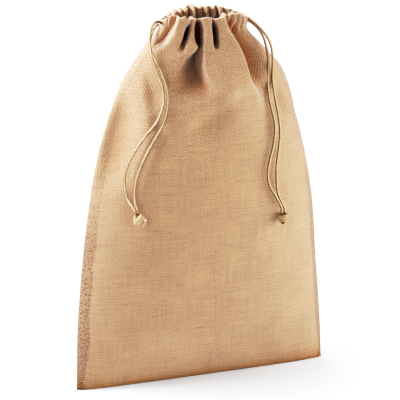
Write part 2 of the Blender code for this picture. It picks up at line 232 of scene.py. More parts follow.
# Each strand starts in the casing's slit at a side seam, hangs over the shoulder and ends in its knot.
strandRoutes = {
    "cord_left_outer": ("knot_left", -1, [
        (-43.5, -2.0, 418.5), (-48, -4, 421), (-54, -7, 420), (-58.5, -10, 415.5), (-61.5, -14, 407.5),
        (-63, -19, 398), (-63, -23.5, 387), (-57.5, -27.5, 368), (-54, -31.5, 355), (-53, -34.5, 341),
        (-56, -36, 328), (-62.5, -36, 315), (-73, -34, 302), (-84, -32, 287), (-92.5, -30.5, 272),
        (-97.5, -30.5, 257), (-98, -31.5, 243), (-96, -34, 230),
    ]),
    "cord_left_inner": ("knot_left", 1, [
        (-46.0, 1.8, 416.5), (-51, -1.0, 414), (-56, -5, 408.5), (-60, -10.5, 402), (-61.5, -16, 394),
        (-57.5, -21, 382), (-53, -28.5, 369), (-49.5, -32, 356), (-48, -35, 342), (-50.5, -37, 326),
        (-56, -37.5, 311), (-64.5, -37.5, 297), (-73.5, -38, 283), (-81, -37, 267), (-86, -37, 254),
        (-88.5, -37.5, 240), (-89, -39, 228),
    ]),
    "cord_right_outer": ("knot_right", 1, [
        (58.8, -2.0, 416.0), (63, -3.5, 412.5), (68.5, -6, 407.5), (73.5, -9, 401.5), (77.5, -12, 395.5),
        (80.5, -14.5, 389), (82, -17, 381), (82.5, -19, 372), (82, -20.5, 363), (81.5, -22, 346),
        (83, -26, 327), (85, -32, 306), (86, -34.5, 291), (83.5, -37.5, 271), (79.5, -41, 253),
        (79, -42.5, 235), (80.8, -43, 219),
    ]),
    "cord_right_inner": ("knot_right", -1, [
        (59.3, 1.8, 412.0), (64, 0.5, 409.5), (69, -2, 405), (73, -5, 399), (76, -8, 392),
        (77, -11, 385), (78.2, -13.5, 377.5), (78.3, -16, 369), (77.3, -18.5, 359), (75.5, -22, 346),
        (74.5, -29.5, 328), (77.5, -34.5, 309), (79, -37, 294), (75, -41, 274), (69.5, -44, 258),
        (67, -45.5, 243), (69.5, -45.5, 230), (77.3, -45, 217),
    ]),
}

# A knot's axis points to the cut ends. Each tail is its end's offset from the knot's foot, and how pale
# its cut is; at 0 the cut end keeps the cord's painted shade, as a cut end in shadow.
knots = {
    # rubbed sets how strong the painted highlight on a knot's wraps is
    "knot_left": {
        "centre": (-86.3, -43.5, 208.0), "axis": (0.80, -0.1, -0.59), "length": 11.0, "radius": 6.3,
        "wraps": -1.1, "taper": 0.15, "turn": 2.5, "flare": 0.75, "swell": 0.4, "paintedHighlight": 1.0,
        "entry": (-88.6, -42.5, 215.0), "wayIn": (0.15, -0.05, -1.0),
        "tails": (((2.9, -4.2, 2.2), 1.0), ((0.9, -4.6, -2.2), 1.0)),
    },
    "knot_right": {
        "centre": (86.3, -44.0, 190.0), "axis": (-0.08, -0.04, -1.0), "length": 13.0, "radius": 5.8,
        "wraps": 1.8, "taper": 0.5, "turn": 2.9, "flare": 0.1, "swell": 0.25, "paintedHighlight": 0.55,
        "entry": (86.4, -43.7, 196.8), "wayIn": (-0.08, -0.04, -1.0),
        "tails": (((-0.8, -2.2, 0.4), 0.0), ((2.0, -1.0, -0.2), 0.35)),
    },
}

tying = {  # how a knot is wound, from its strands' ends
    "ringStep": 0.7,
    "ringSides": 14,
    "lay": 7.0,  # the twist is pulled tighter here
    "frayed": (2.0, 4.0),  # from the cut end to whole yarn
    "flared": (0.0, 4.0),  # where the cut end spreads
    "swollen": (4.0, 8.0),  # where the wraps reach their full width
}


def ease(value, low, high):  # smooth step from 0 at low to 1 at high
    t = np.clip((np.asarray(value, float) - low) / (high - low), 0.0, 1.0)
    return t * t * (3.0 - 2.0 * t)


def unit(vector):
    vector = np.array(vector, float)
    return vector / np.linalg.norm(vector)


def smoothPath(points, step):  # evenly spaced points on a smooth curve through the route's points
    points = np.array(points, float)
    padded = np.vstack([2 * points[0] - points[1], points, 2 * points[-1] - points[-2]])
    fine = []
    for p0, p1, p2, p3 in zip(padded, padded[1:], padded[2:], padded[3:]):
        for t in np.linspace(0.0, 1.0, 24, endpoint=False):
            bend = (2 * p0 - 5 * p1 + 4 * p2 - p3) * t**2 + (3 * p1 - p0 - 3 * p2 + p3) * t**3
            fine.append(0.5 * (2 * p1 + (p2 - p0) * t + bend))
    fine = np.array(fine + [points[-1]])
    run = np.concatenate([[0.0], np.cumsum(np.linalg.norm(np.diff(fine, axis=0), axis=1))])
    places = np.linspace(0.0, run[-1], round(run[-1] / step) + 1)
    return np.array([np.interp(places, run, fine[:, k]) for k in range(3)]).T


def tubeGrid(path, radius, sides, lay, plyDepth, plies=3):
    # rings along the path, with grooves between the plies that turn round it once every lay
    radius = np.broadcast_to(radius, len(path))
    along = np.gradient(path, axis=0)
    along /= np.linalg.norm(along, axis=1)[:, None]
    side = np.cross(along[0], (0.3, 0.2, 0.93))
    rings, run = [], 0.0
    for i, (centre, forward) in enumerate(zip(path, along)):
        side = unit(side - forward * (side @ forward))  # carried along without turning
        other = np.cross(forward, side)
        run += 0.0 if i == 0 else float(np.linalg.norm(path[i] - path[i - 1]))
        angle = np.linspace(0.0, 2 * math.pi, sides, endpoint=False)
        groove = np.abs(np.sin(plies / 2 * (angle - 2 * math.pi * run / lay)))
        reach = radius[i] * (1 - plyDepth + plyDepth * groove**0.6)
        rings.append(centre + np.outer(reach * np.cos(angle), side) + np.outer(reach * np.sin(angle), other))
    return np.array(rings)


def tubeMesh(bm, rings, uvLayer, path, tones):
    # closed at both ends; u runs round the tube and v along it, in metres; tones names the vertex values
    run = np.concatenate([[0.0], np.cumsum(np.linalg.norm(np.diff(path, axis=0), axis=1))])
    sides = rings.shape[1]
    for name in tones:
        if name not in bm.verts.layers.float:
            bm.verts.layers.float.new(name)
    layers = [bm.verts.layers.float[name] for name in tones]
    verts = [[bm.verts.new(p * mm) for p in ring] for ring in rings]
    for toneLayer, values in zip(layers, tones.values()):
        for ring, ringValues in zip(verts, values):
            for vert, value in zip(ring, ringValues):
                vert[toneLayer] = value
    for r in range(len(verts) - 1):
        for k in range(sides):
            j = (k + 1) % sides
            face = bm.faces.new((verts[r][k], verts[r][j], verts[r + 1][j], verts[r + 1][k]))
            face.smooth = True
            places = [(k, r), (k + 1, r), (k + 1, r + 1), (k, r + 1)]
            for loop, (turn, ring) in zip(face.loops, places):
                loop[uvLayer].uv = (turn / sides * math.pi * cords["diameter"] * mm, run[ring] * mm)
    for ring, flip in ((verts[0], True), (verts[-1], False)):
        middle = bm.verts.new(sum((v.co for v in ring), Vector()) / sides)
        for k in range(sides):
            j = (k + 1) % sides
            face = bm.faces.new((ring[j], ring[k], middle) if flip else (ring[k], ring[j], middle))
            face.smooth = True
        for toneLayer in layers:
            middle[toneLayer] = ring[0][toneLayer]


def meshObject(name, bm, material):
    mesh = bpy.data.meshes.new(name)
    bmesh.ops.recalc_face_normals(bm, faces=bm.faces)
    bm.to_mesh(mesh)
    bm.free()
    mesh.materials.append(material)
    obj = bpy.data.objects.new(name, mesh)
    bpy.context.scene.collection.objects.link(obj)
    return obj


cotton = {
    # the dark tone is painted shade, and the stops are the pale yarns of the painted highlight
    "waxed": "643A10",
    "paintedHighlight": ((0.36, "CE9A5E"), (0.64, "FFDBAA")),  # stops along the yarns' noise
    "cut": "F6C8A4",
    "fibreScale": (1400.0, 260.0, 1.0),  # fibres are under 1 mm across and some 4 mm long
    "fibreDepth": 0.0002,
}


def cordMaterial():
    # cotton cord: painted dark on the side away from the light as painted shade, with pale dry yarns as a
    # painted highlight on the lit side
    material, tree, shader = addMaterial("waxed cotton cord")
    add = partial(addNode, tree)
    uv = add("ShaderNodeUVMap", uv_map="UVMap")
    stretched = add("ShaderNodeMapping", {"Vector": uv, "Scale": cotton["fibreScale"]})
    fibres = add("ShaderNodeTexNoise", {"Vector": stretched, "Scale": 1.0, "Detail": 3.0}).outputs["Fac"]
    patches = add("ShaderNodeTexNoise", {"Vector": uv, "Scale": 60.0, "Detail": 2.0}).outputs["Fac"]
    both = add("ShaderNodeMath", (fibres, patches), operation="ADD")
    halved = add("ShaderNodeMath", (both, 0.5), operation="MULTIPLY")
    yarns = add("ShaderNodeValToRGB", (halved,))
    setStops(yarns, cotton["paintedHighlight"])
    lit = add("ShaderNodeAttribute", attribute_name="litSide").outputs["Fac"]
    tone = add("ShaderNodeMix", {0: lit, 6: linear(cotton["waxed"]), 7: yarns}, **blended)
    cut = add("ShaderNodeAttribute", attribute_name="cutEnd").outputs["Fac"]
    relief = {"Height": fibres, "Strength": 0.35, "Distance": cotton["fibreDepth"]}
    setSockets(tree, shader, {
        "Base Color": add("ShaderNodeMix", {0: cut, 6: tone, 7: linear(cotton["cut"])}, **blended),
        "Normal": add("ShaderNodeBump", relief),
        "Roughness": 0.55,
        "IOR": 1.5,
        "Specular IOR Level": 0.2,
    })
    return material


def litSide(rings, path, paintedLightFrom):  # painted light: 1 on the side the light comes from and 0 on the far side, which is painted in shade
    outward = rings - path[:, None, :]
    outward /= np.linalg.norm(outward, axis=2)[:, :, None]
    return ease((outward * paintedLightFrom).sum(axis=2), cords["litFrom"], cords["litTo"])


def knotEntry(knot, beside, above):  # where a strand goes in, above the knot along its way in
    wayIn = unit(knot["wayIn"])
    aside = unit(np.cross((0.0, 1.0, 0.0), -wayIn))
    offset = beside * (cords["diameter"] / 2 + cords["seamGap"])
    return np.array(knot["entry"]) - wayIn * above + aside * offset


def distanceFrom(axis, points):
    return np.linalg.norm(points - (points @ axis)[..., None] * axis, axis=-1)


def strandInKnot(knot, start, tail):  # from its entry, round the core in its wraps, and out to its cut end
    axis, centre = unit(knot["axis"]), np.array(knot["centre"])
    first = unit(np.cross(axis, (0.31, 0.95, 0.05)))
    second = np.cross(axis, first)
    radius = cords["diameter"] / 2
    span = knot["length"] - 2 * radius
    t = np.linspace(0.0, 1.0, 30)
    angle = knot["turn"] + (0.0 if start < 0 else math.pi) + 2 * math.pi * knot["wraps"] * t
    wrapRadius = (knot["radius"] - radius) * (1 - knot["taper"] * t**2)
    loop = centre + np.outer((t - 0.5) * span, axis)
    loop = loop + np.outer(wrapRadius * np.cos(angle), first) + np.outer(wrapRadius * np.sin(angle), second)
    foot = centre + axis * (knot["length"] / 2)
    end = foot + np.array(tail)
    inside = centre + axis * (span / 2 - 3.5) + 0.4 * (end - foot)
    route = np.vstack([knotEntry(knot, start, 0.0), loop[2:-1:3], inside, (inside + end) / 2, end])
    return smoothPath(route, tying["ringStep"])


def buildKnot(name, knot, material):
    # an overhand knot of both strands: their wraps lie side by side round the core, and both cut ends show
    axis, centre = unit(knot["axis"]), np.array(knot["centre"])
    radius = cords["diameter"] / 2
    bm = bmesh.new()
    uvLayer = bm.loops.layers.uv.new("UVMap")
    for start, (tail, pale) in zip((-1, 1), knot["tails"]):
        path = strandInKnot(knot, start, tail)
        fromEnd = np.linspace(len(path) - 1, 0, len(path)) * tying["ringStep"]
        fromStart = fromEnd[::-1]
        swell = knot["swell"] * (1 - 0.6 * ease(fromStart, 8.0, 30.0)) * ease(fromStart, 1.0, 6.0)
        flare = 1.0 + knot["flare"] * (1 - ease(fromEnd, *tying["flared"]))
        flare = flare + swell * ease(fromEnd, *tying["swollen"])
        rings = tubeGrid(path, radius * flare, tying["ringSides"], tying["lay"], cords["plyDepth"])
        # the wraps get a painted highlight where they stand out, and painted shade in the grooves between
        # them
        raised = distanceFrom(axis, rings - centre) - distanceFrom(axis, path - centre)[:, None]
        standing = ease(raised / (radius * flare[:, None]), -0.1, 0.9)
        cut = np.broadcast_to((1 - ease(fromEnd, *tying["frayed"]))[:, None], standing.shape)
        lit = knot["paintedHighlight"] * standing * (1 - cut)
        tubeMesh(bm, rings, uvLayer, path, {"litSide": lit, "cutEnd": cut * pale})
    # the crossing inside the wraps
    share = np.linspace(0.0, 1.0, 12)
    path = centre + np.outer((share - 0.5) * (knot["length"] - 2 * radius), axis)
    width = (knot["radius"] - 1.6 * radius) * (1 - knot["taper"] * share**2)
    width = width * np.sin((0.25 + 0.55 * share) * math.pi) ** 0.5
    rings = tubeGrid(path, width, tying["ringSides"], tying["lay"], cords["plyDepth"])
    # the crossing is painted half in shade
    shade = np.full(rings.shape[:2], 0.45 * knot["paintedHighlight"])
    tubeMesh(bm, rings, uvLayer, path, {"litSide": shade, "cutEnd": 0.0 * shade})
    obj = meshObject(name + "_tied", bm, material)
    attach(obj, "root")
    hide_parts(name)
    return obj


def buildCords():
    material = cordMaterial()
    tied = {name: buildKnot(name, knot, material) for name, knot in knots.items()}
    for name, (knotName, beside, route) in strandRoutes.items():
        rises = (cords["entryRise"], cords["seamGap"])
        entry = [knotEntry(knots[knotName], beside, above) for above in rises]
        path = smoothPath(list(route) + entry, cords["ringStep"])
        rings = tubeGrid(path, cords["diameter"] / 2, cords["ringSides"], cords["lay"], cords["plyDepth"])
        bm = bmesh.new()
        lit = litSide(rings, path, unit(cords["paintedLightFrom"][knotName]))
        tubeMesh(bm, rings, bm.loops.layers.uv.new("UVMap"), path, {"litSide": lit, "cutEnd": 0.0 * lit})
        strand = meshObject(name + "_twisted", bm, material)
        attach(strand, "root")
        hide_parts(name)


cloth = {
    "single": 1.2,  # thickness of one layer
    "doubled": 2.0,  # casing, and the allowances inside the seams
    "allowance": 10.0,
    "gap": 0.3,  # between the panels
    "rim": 427.0,
    "casingFoot": 403.0,
    "baseRound": 9.0,
    "wallFoot": 60.0,
    "columns": 300,
    "flatWidth": 0.32,
    "flatLength": 0.485,
}

# level sections: the seams, the fullness each side of the seam plane, how flat the middle is and how blunt
# the ends are
sectionNames = ("z", "left", "right", "front", "back", "square", "blunt", "seam")
sections = np.array([
    (0, 150.0, 151.5, 9, 38, 8.0, 0.80, -8.0),
    (30, 149.5, 150.5, 19, 44, 5.5, 0.80, -7.2),
    (60, 148.5, 149.0, 27, 47, 4.2, 0.80, -6.6),
    (120, 143.5, 144.5, 38, 51, 3.0, 0.82, -5.0),
    (210, 132.0, 137.5, 45, 51, 2.5, 0.85, -3.2),
    (270, 120.5, 126.0, 45, 49, 2.4, 0.85, -2.4),
    (300, 112.0, 118.0, 43, 46, 2.4, 0.85, -1.8),
    (340, 97.0, 107.0, 39, 40, 2.4, 0.82, -1.2),
    (358, 88.0, 98.0, 36, 37, 2.3, 0.80, -1.0),
    (376, 75.5, 82.0, 33, 33, 2.2, 0.75, -0.8),
    (390, 65.0, 70.0, 30, 30, 2.1, 0.65, -0.6),
    (402, 56.5, 61.0, 28, 28, 2.0, 0.56, -0.4),
    (412, 49.0, 57.0, 26, 26, 2.0, 0.52, -0.2),
    (420, 44.0, 57.0, 25, 25, 2.0, 0.50, -0.1),
    (440, 42.5, 58.5, 27, 27, 2.0, 0.50, 0.0),
], float)
sectionSlopes = np.gradient(sections, sections[:, 0], axis=0)

# Creases of the cloth, as troughs along lines on the panel. Each row has its line as (x, z) from
# the rim down, its depth along the line, the width of its left and of its right slope along the line, and how
# square it is: 2 is a soft hollow, 4 a slot with steep walls. A negative depth makes a ridge.
frontCreases = [
    # three slots between the rolled gathers, pinched shut at the rim; these come first, see slotShades
    ([(-14.5, 433), (-16.2, 423), (-19, 413), (-22.5, 405), (-26.5, 397), (-29.5, 389)],
     (0, 12, 24, 19, 8, 0), (0.6, 1.5, 3.5, 3.8, 3.8, 4.0), (0.4, 0.9, 1.7, 2.2, 2.8, 3.4), 4.0),
    ([(-7.8, 433), (-7.8, 427.5), (-7.8, 422), (-7.4, 414), (-7, 407), (-6.4, 400), (-6, 394)],
     (0, 4, 15, 17, 18, 17, 12),
     (1.2, 2.6, 4.2, 5.2, 6.4, 6.2, 3.2), (1.2, 2.6, 4.4, 5.4, 5.2, 3.8, 2.2), 5.0),
    ([(7.6, 433), (9.4, 424), (11.2, 415), (11.6, 407), (11.2, 398), (10.8, 390)], (1, 20, 26, 24, 12, 0),
     (0.6, 1.8, 3.1, 3.4, 3.2, 2.6), (0.6, 2.0, 3.2, 3.4, 3.2, 2.6), 5.0),
    # the three-cornered hollow under the middle slot, its right side a sharp edge; fourth, see hollowRow
    ([(-5.6, 399), (-6.4, 391), (-8.5, 380), (-9.5, 371), (-9, 360), (-6, 349), (-2, 338)],
     (8, 16, 24, 24, 17, 7, 0), (2, 5.5, 14, 21, 26, 25, 18), (1.4, 2.0, 2.8, 3.8, 5, 6, 7), 2.4),
    # the cloth rolls over into the slots
    ([(-14, 431), (-19.5, 413), (-27.5, 397)], (1, 2.0, 0), (5, 7, 7), (4, 5, 6), 2.0),
    ([(-7.8, 431), (-7.4, 412), (-6.2, 396)], (1, 2.0, 0), (8, 9, 8), (8, 9, 8), 2.0),
    ([(7.8, 431), (11.6, 413), (12, 395)], (1, 2.0, 0), (5, 6.5, 6), (5, 7, 8), 2.0),
    ([(-7.6, 429), (-7.2, 416), (-7, 404), (-6.6, 396)], (-1, -6, -5, 0),
     (1.6, 1.9, 1.8, 1.4), (1.6, 1.9, 1.8, 1.4), 2.0),
    # the long fold down to the right: its ridge and the deep hollow beside it
    ([(14, 430), (22, 416), (31, 401), (40, 384), (44, 368), (48, 354), (58, 338), (72, 314)],
     (0, -2.5, -4.5, -5, -5, -4, -2.5, 0),
     (4, 7, 10, 13, 15, 15, 14, 12), (2, 2.2, 2.6, 3, 3.6, 5.5, 8, 10), 2.0),
    ([(24, 430), (33, 411), (41, 397), (48.5, 380), (52.5, 366), (57, 352), (66, 336), (80, 312)],
     (3, 15, 19, 20, 15, 7.5, 4, 0), (2, 3, 3.4, 3.8, 4.4, 6, 9, 12), (3, 8, 15, 19, 20, 16, 12, 10), 2.2),
    # the fold down to the left and the hollow behind it
    ([(-26.5, 432), (-29, 421), (-34, 411), (-42, 403), (-53, 392)], (-1.5, -3.6, -4.2, -3, 0),
     (1.4, 1.6, 1.8, 2.2, 3), (6, 8, 9, 9, 8), 2.0),
    ([(-30, 432), (-32.5, 421), (-37.5, 411), (-46, 403), (-58, 391)], (4, 8, 8.5, 6.5, 0), (3.5, 5, 6, 7, 7),
     (1.2, 1.5, 1.8, 2.4, 3), 2.4),
    # small gathers near the seams
    ([(-35, 431), (-37.5, 421), (-41.5, 411), (-48, 402)], (4, 5, 5, 0),
     (1.0, 1.1, 1.2, 1.2), (1.0, 1.1, 1.2, 1.2), 2.4),
    ([(-37.8, 431), (-40.5, 420), (-45, 409), (-52.5, 399)], (4, 4.5, 4, 0),
     (1.0, 1.1, 1.2, 1.2), (1.0, 1.1, 1.2, 1.2), 2.4),
    ([(-40.3, 431), (-42.8, 419), (-48, 407), (-56.5, 396)], (3, 3, 3, 0),
     (0.9, 1.0, 1.1, 1.2), (0.9, 1.0, 1.1, 1.2), 2.4),
    ([(27, 431), (31, 417), (35, 405)], (6, 9, 1), (1.4, 1.6, 1.7), (1.4, 1.6, 1.7), 2.4),
    ([(33, 431), (37, 416), (41, 402)], (6, 9, 1), (1.4, 1.6, 1.7), (1.4, 1.6, 1.7), 2.4),
    ([(39.5, 431), (43, 415), (48, 400)], (6, 9, 1), (1.4, 1.6, 1.7), (1.4, 1.6, 1.7), 2.4),
    ([(46, 431), (49, 415), (54, 401)], (5, 7, 0), (1.3, 1.5, 1.6), (1.3, 1.5, 1.6), 2.4),
    # soft hollows and swells lower down
    ([(-66, 374), (-63, 345), (-58, 312)], (0, 5.5, 0), (6, 6, 8), (13, 16, 16), 2.0),
    ([(82, 350), (90, 324), (99, 300)], (0, 6.5, 0), (8, 9, 9), (8, 9, 9), 2.0),
    ([(42, 342), (10, 317), (-14, 304), (-40, 295)], (0, 4.5, 5.5, 0),
     (11, 14, 14, 12), (11, 14, 14, 12), 2.0),
    ([(-66, 322), (-58, 308), (-46, 292)], (0, 5, 0), (8, 8, 8), (7, 7, 7), 2.0),
    ([(14, 388), (19, 354), (30, 300)], (0, -9, 0), (12, 18, 18), (12, 18, 18), 2.0),
    ([(-86, 348), (-97, 322), (-106, 295), (-113, 262), (-118, 230)], (0, 9, 10, 8, 0), (8, 8, 8, 8, 8),
     (16, 20, 24, 22, 18), 2.0),
    ([(-112, 180), (-60, 120), (0, 70)], (0, 2.5, 0), (22, 22, 22), (22, 22, 22), 2.0),
]
backCreases = [
    ([(x, 432), (x * 1.05 + lean, 412), (x * 1.15 + 2 * lean, low)], (depth * 0.5, depth, 0),
     (1.6, 2.2, 2.4), (1.6, 2.2, 2.4), 2.6)
    for x, lean, depth, low in (
        (-37, -2, 5, 392), (-31, -2, 8, 384), (-24, -1.5, 12, 376), (-16, -1, 14, 366), (-8, -0.5, 12, 378),
        (1, 0, 16, 362), (9.5, 0.5, 13, 374), (17, 1, 15, 366), (25, 1, 12, 378), (33, 1.5, 12, 374),
        (41, 2, 8, 384), (48, 2, 6, 390),
    )
] + [
    ([(-30, 410), (-42, 368), (-66, 312)], (0, 12, 0), (10, 16, 18), (4, 6, 8), 2.0),
    ([(6, 408), (2, 360), (10, 300)], (0, 11, 0), (4, 6, 8), (10, 16, 18), 2.0),
    ([(38, 408), (54, 362), (72, 306)], (0, 11, 0), (4, 6, 8), (10, 16, 18), 2.0),
    ([(-80, 352), (-74, 326), (-50, 292)], (0, 5, 0), (10, 10, 10), (10, 10, 10), 2.0),
    ([(60, 250), (10, 190), (-50, 150)], (0, 3, 0), (20, 20, 20), (20, 20, 20), 2.0),
]

# how high the rim stands, as (x, z) along each panel
frontRim = [
    (-45, 420), (-38, 426.5), (-33, 429.5), (-27, 427), (-23, 429), (-18, 424), (-14, 426.5), (-8, 424.5),
    (-1, 426.5), (4, 426), (8, 422.5), (14, 424), (19, 425), (25, 426.5), (30, 424.5), (33, 428), (38, 425),
    (43, 426.5), (48, 421.5), (58, 418),
]
backRim = [
    (-45, 420), (-38, 422), (-32, 423.5), (-27, 425.5), (-21, 427), (-15, 426.5), (-10, 428), (-4, 429),
    (0, 432.5), (4, 428), (10, 426), (19, 428.5), (24, 425.5), (30, 427.5), (37, 425), (45, 423), (52, 420.5),
    (58, 418),
]

slotShades = (0.6, 0.4, 2.0)  # how strongly the front's first rows are painted dark: painted shade in slots that little light reaches
hollowRow = 3  # the front's row that is its hollow
clothTones = ("creaseDepth", "slotDepth", "hollowDepth", "rimShare", "fromSide")


def sectionAt(z):  # on a smooth curve through the table
    heights = sections[:, 0]
    row = int(np.clip(np.searchsorted(heights, z) - 1, 0, len(heights) - 2))
    span = heights[row + 1] - heights[row]
    t = (z - heights[row]) / span
    out = (2 * t**3 - 3 * t**2 + 1) * sections[row] + (t**3 - 2 * t**2 + t) * span * sectionSlopes[row]
    out = out + (3 * t**2 - 2 * t**3) * sections[row + 1] + (t**3 - t**2) * span * sectionSlopes[row + 1]
    return dict(zip(sectionNames, out))


def barePoint(side, across, z):  # without creases; across runs from -1 at the left seam to 1 at the right
    s = sectionAt(z)
    fullness = s["front"] if side < 0 else s["back"]
    bulge = fullness * np.maximum(1.0 - np.abs(across) ** s["square"], 0.0) ** s["blunt"]
    x = (s["right"] - s["left"]) / 2 + across * (s["right"] + s["left"]) / 2
    return x, s["seam"] + side * (cloth["gap"] / 2 + bulge)


def curveThrough(points, count):  # evenly spaced points on a smooth curve
    step = float(np.linalg.norm(np.diff(np.array(points, float), axis=0), axis=1).sum()) / count
    flat = [(x, z, 0.0) for x, z in points]
    return smoothPath(flat, step)[:, :2]


def alongLine(values, t):  # a row's value at each share of its line's length
    return np.interp(t, np.linspace(0.0, 1.0, len(values)), values)


def creaseDepth(x, z, line, crease):  # how far a crease pushes the cloth in, at points (x, z)
    _, depths, left, right, power = crease
    offX = x[:, None] - line[:, 0]
    offZ = z - line[:, 1]
    near = np.argmin(offX**2 + offZ**2, axis=1)
    rows = np.arange(len(x))
    along = np.gradient(line, axis=0)[near]
    along /= np.linalg.norm(along, axis=1)[:, None]
    offX, offZ = offX[rows, near], offZ[near]
    t = near / (len(line) - 1)
    rightOf = offZ * along[:, 0] - offX * along[:, 1]
    width = np.where(rightOf > 0, alongLine(right, t), alongLine(left, t))
    return alongLine(depths, t) * np.exp(-((np.hypot(offX, offZ) / width) ** power))


creaseLines = {
    side: [(curveThrough(crease[0], 60), crease) for crease in creases]
    for side, creases in ((-1, frontCreases), (1, backCreases))
}


def levelLine(side, z):
    # a panel's level line at one height with its creases, and how deep each kind of crease is along it
    across = -np.cos(np.linspace(0.0, math.pi, 1600))
    x, y = barePoint(side, across, z)
    dip, slot, hollow = np.zeros_like(x), np.zeros_like(x), np.zeros_like(x)
    for row, (line, crease) in enumerate(creaseLines[side]):
        reach = 3.0 * max(max(crease[2]), max(crease[3]))
        if line[:, 1].min() - reach < z < line[:, 1].max() + reach:
            depth = creaseDepth(x, z, line, crease)
            dip += depth
            if side < 0 and row < len(slotShades):
                slot += depth * slotShades[row]
            elif side < 0 and row == hollowRow:
                hollow += depth
    dip *= 1.0 - np.abs(across) ** 14
    dx, dy = np.gradient(x), np.gradient(y)
    length = np.hypot(dx, dy)
    outX, outY = x + side * dip * dy / length, y - side * dip * dx / length
    bare = np.concatenate([[0.0], np.cumsum(np.hypot(np.diff(x), np.diff(y)))])
    creased = np.concatenate([[0.0], np.cumsum(np.hypot(np.diff(outX), np.diff(outY)))])
    return bare / bare[-1], creased / creased[-1], outX, outY, (dip - hollow, slot, hollow)


def footPath(side, across):  # from the bottom seam along the floor, round the edge and up to wallFoot
    heights = np.linspace(0.0, cloth["wallFoot"], 61)
    wall = np.array([[*barePoint(side, across, z), z] for z in heights])
    seamY = sectionAt(0.0)["seam"] + side * cloth["gap"] / 2
    depth = abs(wall[0, 1] - seamY)
    turn = min(cloth["baseRound"], 0.6 * depth)
    path = wall
    if depth > 0.5:
        corner = wall[0]
        before = corner + np.array([0.0, -side * turn, 0.0])
        after = np.array([np.interp(turn, heights, wall[:, k]) for k in range(3)])
        shares = np.linspace(0, 1, 9)
        curve = [(1 - t) ** 2 * before + 2 * t * (1 - t) * corner + t**2 * after for t in shares]
        path = np.array([[wall[0, 0], seamY, 0.0]] + curve + [p for p in wall if p[2] > turn + 0.5])
    run = np.concatenate([[0.0], np.cumsum(np.linalg.norm(np.diff(path, axis=0), axis=1))])
    flat = max(depth - turn, 0.0)
    bend = flat + 1.4 * turn
    marks = [np.linspace(0, flat, 5), np.linspace(flat, bend, 5)[1:], np.linspace(bend, run[-1], 13)[1:]]
    marks = np.concatenate(marks)
    plain = np.linspace(0.0, run[-1], len(marks))
    firm = float(ease(depth, 0.5, 6.0))
    at = (1 - firm) * plain + firm * marks
    rows = np.array([[np.interp(a, run, path[:, k]) for k in range(3)] for a in at])
    rows[rows[:, 2] < 0.02, 2] = 0.0
    return rows


def wallHeights():  # closer together towards the gathers
    spans = ((cloth["wallFoot"], 300, 44), (300, 350, 20), (350, cloth["rim"], 62))
    parts = [np.linspace(low, high, count, endpoint=False) for low, high, count in spans]
    return np.append(np.concatenate(parts), cloth["rim"])


def panelGrid(side):  # the panel's outer face, and the values in clothTones for each point
    even = np.linspace(0.0, 1.0, cloth["columns"])
    bare, _, x, _, _ = levelLine(side, cloth["wallFoot"])
    x = np.interp(even, bare, x)
    s = sectionAt(cloth["wallFoot"])
    across = np.clip((x - (s["right"] - s["left"]) / 2) / ((s["right"] + s["left"]) / 2), -1.0, 1.0)
    foot = np.stack([footPath(side, a) for a in across], axis=1)
    rim = np.array(frontRim if side < 0 else backRim, float)
    wall, tones = [], [np.zeros(foot.shape[:2] + (len(clothTones) - 1,))]
    for z in wallHeights()[1:]:
        bare, creased, x, y, depths = levelLine(side, z)
        spread = (bare + creased) / 2  # columns crowd where the cloth is gathered
        x, y, *depths = (np.interp(even, spread, values) for values in (x, y, *depths))
        # rimShare: where the painted highlight of the fold at the mouth goes
        depths.append(np.full_like(x, ease(z, cloth["rim"] - 2.2, cloth["rim"] - 0.6)))
        lift = np.interp(x, rim[:, 0], rim[:, 1]) - cloth["rim"]
        lift = lift * ease(z, cloth["casingFoot"] - 20, cloth["rim"])
        wall.append(np.stack([x, y, z + lift], axis=1))
        tones.append(np.stack(depths, axis=1)[None])
    grid = np.concatenate([foot, np.array(wall)])
    for name, row in (("rim", -1), ("neck", -30), ("foot", len(foot) + 4)):
        length = np.linalg.norm(np.diff(grid[row], axis=0), axis=1).sum()
        print(f"cloth along the {name}: {length:.0f} mm")
    run = acrossCloth(grid)
    fromSide = np.minimum(run, run[:, -1:] - run)
    return grid, np.concatenate([np.concatenate(tones), fromSide[:, :, None]], axis=2)


def acrossCloth(grid):  # distance along each level line, from the left seam
    run = np.zeros(grid.shape[:2])
    run[:, 1:] = np.cumsum(np.linalg.norm(np.diff(grid, axis=1), axis=2), axis=1)
    return run


def clothThickness(grid, fromSide):  # doubled in the casing and the allowances
    rise = np.zeros(grid.shape[:2])
    rise[1:] = np.cumsum(np.linalg.norm(np.diff(grid, axis=0), axis=2), axis=0)
    low, high = cloth["allowance"] - 1.5, cloth["allowance"] + 1.5
    doubled = np.maximum(1 - ease(fromSide, low, high), 1 - ease(rise, low, high))
    doubled = np.maximum(doubled, ease(grid[:, :, 2], cloth["casingFoot"] - 1, cloth["casingFoot"] + 1))
    return cloth["single"] + (cloth["doubled"] - cloth["single"]) * doubled


def outward(grid, side):  # unit normals, turned out at the seams and down at the bottom seam
    normal = -side * np.cross(np.gradient(grid, axis=1), np.gradient(grid, axis=0))
    normal[:, [0, -1], 1] = 0.0
    normal[:, 0, 0] = -np.abs(normal[:, 0, 0]) - 1e-6
    normal[:, -1, 0] = np.abs(normal[:, -1, 0]) + 1e-6
    normal[0, :, :] = (0.0, 0.0, -1.0)
    normal[0, 0, :] = (-1.0, 0.0, -1.0)
    normal[0, -1, :] = (1.0, 0.0, -1.0)
    normal[-1, :, 2] = 0.0
    return normal / np.linalg.norm(normal, axis=2)[:, :, None]


